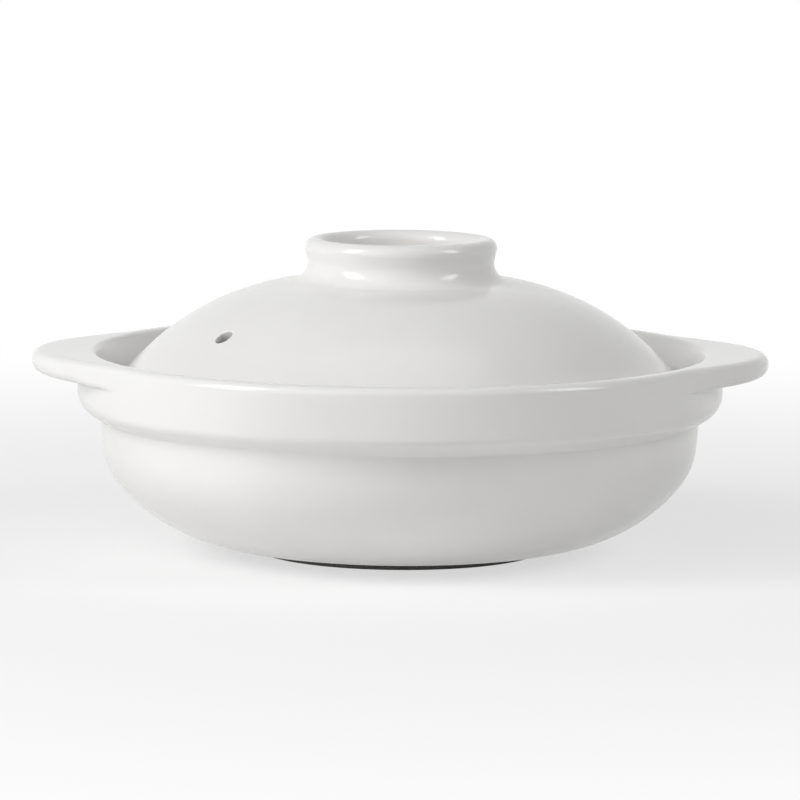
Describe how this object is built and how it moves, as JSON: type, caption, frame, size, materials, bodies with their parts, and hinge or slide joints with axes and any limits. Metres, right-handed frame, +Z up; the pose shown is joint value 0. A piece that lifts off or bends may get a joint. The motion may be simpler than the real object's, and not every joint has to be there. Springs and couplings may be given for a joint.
{
  "type": "lidded clay cooking pot",
  "caption": "Shallow round clay cooking pot with flat wing handles drawn out from its rim, and a domed lid with a ring knob and a steam hole.",
  "frame": {"origin": "centre of the circle that the foot ring stands on", "axes": "+Z up along the axis of the pot and its lid, +X from the centre to one handle, -Y towards the picture's camera"},
  "size_m": [0.3, 0.2626, 0.1276],
  "materials": {
    "pot_glaze": "satin off-white glaze over coarse clay, bare dark clay under the foot",
    "lid_glaze": "satin off-white glaze over coarse clay, bare clay on the seating edge"
  },
  "bodies": {
    "pot": {"pot_body": "pot_glaze"},
    "lid": {"lid": "lid_glaze"}
  },
  "joints": [
    {"name": "lid_lift", "type": "slide", "parent": "pot", "child": "lid", "axis": [0, 0, 1], "range_m": [0, 0.12]}
  ]
}
